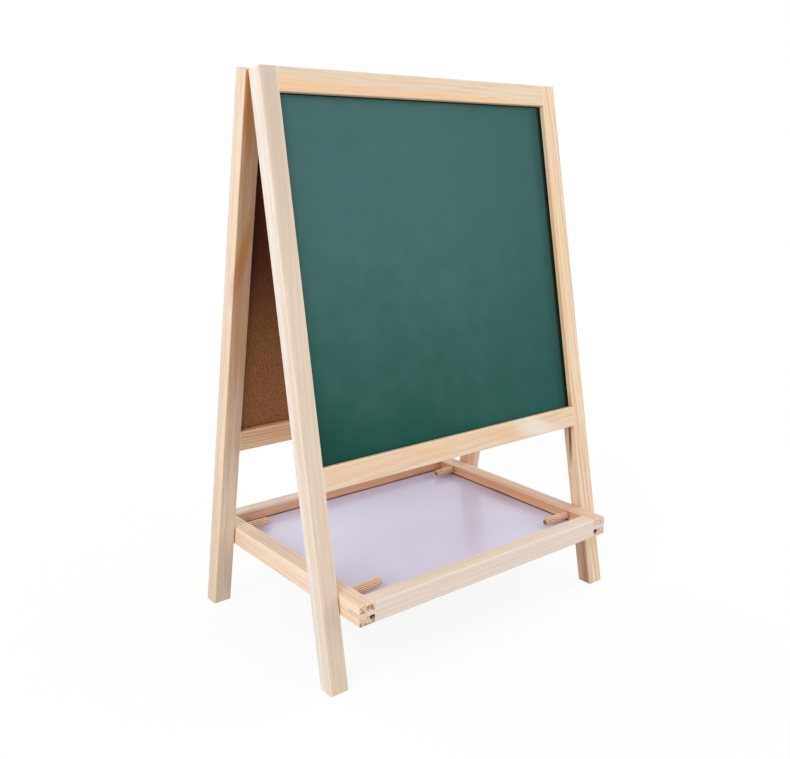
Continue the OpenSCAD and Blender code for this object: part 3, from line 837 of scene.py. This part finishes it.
print("points round a peg:", POINTS_PER_FLUTE * FLUTES)


# %% Meshes from arrays
def mesh_object(name, points, faces):
    """A smooth-shaded object at the origin from an array of points and a list of faces."""
    mesh = bpy.data.meshes.new(name)
    mesh.from_pydata(points.tolist(), [], faces)
    mesh.polygons.foreach_set("use_smooth", np.ones(len(faces), dtype=bool))
    mesh.update()
    made = bpy.data.objects.new(name, mesh)
    scene.collection.objects.link(made)
    return made


print("meshes before the pegs:", len(bpy.data.meshes))


# %% Peg finish
# Of these colours, #fbdcbd is a painted highlight on the crests and #7a4029 a painted shade in the
# flutes.
PEG_BROWNS = {"pale": "#edc2a4", "tan": "#d7a182", "pore": "#8a5733", "crest": "#fbdcbd",
              "dirt": "#7a4029", "sawn": "#5c3420"}
PEG_SHARES = {"pore": 0.45, "crest": 0.55, "dirt": 0.9, "sawn": 0.8}
PATTERNS.update({
    "hardwood": ((1.6, 1.6, 0.09), 4.0, 0.6),
    "hardwood pore": ((4.5, 4.5, 0.5), 2.0, 0.5),
})
# Where a tint starts and where it is full, in millimetres under the crests or from the ends:
CREST_HIGHLIGHT_DEPTHS = (0.12, 0.02)
FLUTE_SHADE_DEPTHS = (0.1, 0.42)
FLUTE_SHADE_FROM_END = (1.8, 2.4)
SAWN_FROM_END = (0.5, 0.15)
PEG_ROUGHNESS = (0.42, 0.6)
PEG_RELIEF = 0.00008                    # metres
PORE_DEPTH = -0.6                       # beside the height of the grain


def peg_wood(name, node):
    """Reddish tan hardwood with short dark pores, a painted highlight on the crests, a painted shade in
    the flutes and dark sawn ends.
    """
    finish = Finish(name)
    place, half = stick_space(finish, node, ACROSS, UPRIGHT)
    brown = {name: paint(code) for name, code in PEG_BROWNS.items()}
    radius, half_length = half[0], half[2]
    from_axis = finish.vector("LENGTH", finish.vector("MULTIPLY", place, (1, 1, 0)))
    from_middle = finish.math("ABSOLUTE", finish.parts(place)[2])

    grain = pattern(finish, place, "hardwood")
    colour = finish.mix(finish.rise(grain, 0.3, 0.7), brown["pale"], brown["tan"])
    pore = finish.rise(pattern(finish, place, "hardwood pore"), 0.58, 0.72)
    colour = finish.mix(finish.math("MULTIPLY", pore, PEG_SHARES["pore"]), colour, brown["pore"])
    # Painted highlight on the crests between the flutes.
    start, full = (radius - depth for depth in CREST_HIGHLIGHT_DEPTHS)
    crest = finish.rise(from_axis, start, full, 0.0, PEG_SHARES["crest"])
    colour = finish.mix(crest, colour, brown["crest"])

    # Painted shade in the flutes, fading out towards the ends.
    start, full = (radius - depth for depth in FLUTE_SHADE_DEPTHS)
    sunk = finish.rise(from_axis, full, start, PEG_SHARES["dirt"], 0.0)
    start, full = (half_length - depth for depth in FLUTE_SHADE_FROM_END)
    body = finish.rise(from_middle, full, start, 1.0, 0.0)
    colour = finish.mix(finish.math("MULTIPLY", sunk, body), colour, brown["dirt"])
    start, full = (half_length - depth for depth in SAWN_FROM_END)
    sawn = finish.rise(from_middle, start, full, 0.0, PEG_SHARES["sawn"])
    colour = finish.mix(sawn, colour, brown["sawn"])

    finish.set(base_color=colour, roughness=finish.rise(grain, 0.3, 0.7, *PEG_ROUGHNESS))
    finish.bump(finish.math("ADD", grain, finish.math("MULTIPLY", pore, PORE_DEPTH)), PEG_RELIEF)
    return finish


print("peg colours:", ", ".join(PEG_BROWNS))

# %% Pegs in their bores
for node in ("front_left_peg", "front_right_peg", "rear_left_peg", "rear_right_peg"):
    low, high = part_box(node)
    points, faces = peg_surface(high.x - low.x, (high.z - low.z) / 2)
    points = points + np.array([low.x, (low.y + high.y) / 2, (low.z + high.z) / 2])
    peg = mesh_object(node + "_fluted", points, faces)
    peg_wood("wood_" + node, node).give(peg)
    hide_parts(node)
    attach(peg, node)
    print(peg.name, len(faces), "faces, length", round((high.x - low.x) * MM, 1), "mm")

# %% [markdown]
# ## Floor and light
# The easel stands on a white sweep under large soft lamps. The floor has to look plain white without
# flooding the wood with light, so the camera sees mostly a plain white glow there, and the rest is
# the lit floor, which keeps the easel's own soft shadow. The glow grows to the whole look further
# out, where no shadow falls, so the floor runs into the white room with no horizon.

# %% Nodes shared by the floor and the room
SEEING_RAYS = ("Is Camera Ray", "Is Glossy Ray", "Is Transmission Ray")


def seen_directly(nodes, links):
    """1 where the camera sees this directly, in a reflection or through glass, and 0 elsewhere."""
    path = nodes.new("ShaderNodeLightPath")
    seen = path.outputs[SEEING_RAYS[0]]
    for kind in SEEING_RAYS[1:]:
        either = nodes.new("ShaderNodeMath")
        either.operation = "MAXIMUM"
        links.new(seen, either.inputs[0])
        links.new(path.outputs[kind], either.inputs[1])
        seen = either.outputs[0]
    return seen


def ranged(nodes, links, value, start, end, low, high):
    """Goes from low to high as the value goes from start to end."""
    node = nodes.new("ShaderNodeMapRange")
    node.inputs["From Min"].default_value = start
    node.inputs["From Max"].default_value = end
    node.inputs["To Min"].default_value = low
    node.inputs["To Max"].default_value = high
    links.new(value, node.inputs["Value"])
    return node.outputs[0]


print("rays that see:", ", ".join(SEEING_RAYS))

# %% Floor
FLOOR_RADIUS = 4.0
FLOOR_CORNERS = 64
GLOW_NEAR = 0.9                         # how much of the floor's look is plain white by the easel
GLOW_REACH = (0.25, 0.75)               # radius where the glow starts to grow, and where it is all
FLOOR_SEEN, FLOOR_LIT = 1.0, 0.8        # the lit floor's paleness to the eye, and as it lights wood


def floor_material():
    """White floor under a plain white glow, whose share of the look grows outwards from the easel."""
    material = bpy.data.materials.new("floor_white")
    material.use_nodes = True
    nodes, links = material.node_tree.nodes, material.node_tree.links
    nodes.clear()
    place = nodes.new("ShaderNodeTexCoord")
    radius = nodes.new("ShaderNodeVectorMath")
    radius.operation = "LENGTH"
    links.new(place.outputs["Object"], radius.inputs[0])
    glow_share = ranged(nodes, links, radius.outputs["Value"], *GLOW_REACH, GLOW_NEAR, 1.0)
    seen = seen_directly(nodes, links)
    share = nodes.new("ShaderNodeMath")
    share.operation = "MULTIPLY"
    links.new(seen, share.inputs[0])
    links.new(glow_share, share.inputs[1])
    matt = nodes.new("ShaderNodeBsdfDiffuse")
    links.new(ranged(nodes, links, seen, 0, 1, FLOOR_LIT, FLOOR_SEEN), matt.inputs["Color"])
    glow = nodes.new("ShaderNodeEmission")
    both = nodes.new("ShaderNodeMixShader")
    links.new(share.outputs[0], both.inputs[0])
    links.new(matt.outputs[0], both.inputs[1])
    links.new(glow.outputs[0], both.inputs[2])
    output = nodes.new("ShaderNodeOutputMaterial")
    links.new(both.outputs[0], output.inputs["Surface"])
    return material


angle = np.linspace(0, 2 * math.pi, FLOOR_CORNERS, endpoint=False)
rim = np.stack([FLOOR_RADIUS * np.cos(angle), FLOOR_RADIUS * np.sin(angle), 0 * angle], axis=-1)
floor = mesh_object("floor", rim, [list(range(FLOOR_CORNERS))])
floor.data.materials.append(floor_material())
floor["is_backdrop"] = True
print("floor radius:", FLOOR_RADIUS, "m")

# %% [markdown]
# ## Lamps
# The lamps are large and soft. The brightest stands to the left, so that side of each leg is a shade
# lighter than its front. The front one is tall and reaches under the board, into the tray. All four
# together keep each side at a level where a colour looks as it was written.

# %% Room light and lamps
ROOM_LIGHT = 0.5                        # strength of the white room that lights the object
LAMPS = {
    # name: place, width and height in metres, power in watts
    "left_softbox": ((-1.25, -0.45, 0.80), (1.0, 1.0), 11.2),
    "front_softbox": ((0.95, -1.35, 0.72), (0.9, 1.4), 6.8),
    "right_softbox": ((1.30, -0.20, 0.85), (0.9, 0.9), 7.0),
    "rear_softbox": ((-0.40, 1.50, 0.90), (0.9, 0.9), 7.0),
}


def white_room():
    """White where it is seen or reflected, and a weaker white light on everything else."""
    world = bpy.data.worlds.new("white_room")
    scene.world = world
    world.use_nodes = True
    nodes, links = world.node_tree.nodes, world.node_tree.links
    background = nodes["Background"]
    background.inputs["Color"].default_value = (1, 1, 1, 1)
    seen = seen_directly(nodes, links)
    links.new(ranged(nodes, links, seen, 0, 1, ROOM_LIGHT, 1.0), background.inputs["Strength"])


def lamp(name, place, aim, size, power):
    """A soft lamp at place that looks towards aim and stands upright."""
    made = bpy.data.objects.new(name, bpy.data.lights.new(name, "AREA"))
    made.data.shape = "RECTANGLE"
    made.data.size, made.data.size_y = size
    made.data.energy = power
    made.location = place
    made.rotation_mode = "QUATERNION"
    made.rotation_quaternion = (Vector(aim) - Vector(place)).to_track_quat("-Z", "Y")
    scene.collection.objects.link(made)


white_room()
middle = (cad_low + cad_high) / 2
for name, (place, size, power) in LAMPS.items():
    lamp(name, place, middle, size, power)
print("room light", ROOM_LIGHT, "and", len(LAMPS), "lamps aimed at", [round(c, 3) for c in middle])

# %% [markdown]
# ## Sizes
# A dressed piece has to stay inside the size that its stick or peg was made to, or it would no longer
# fit its bore. So the whole easel is measured once more, and its visual size is printed.

# %% Sizes
low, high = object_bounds()
print("visual size in metres:", [round(s, 4) for s in high - low])
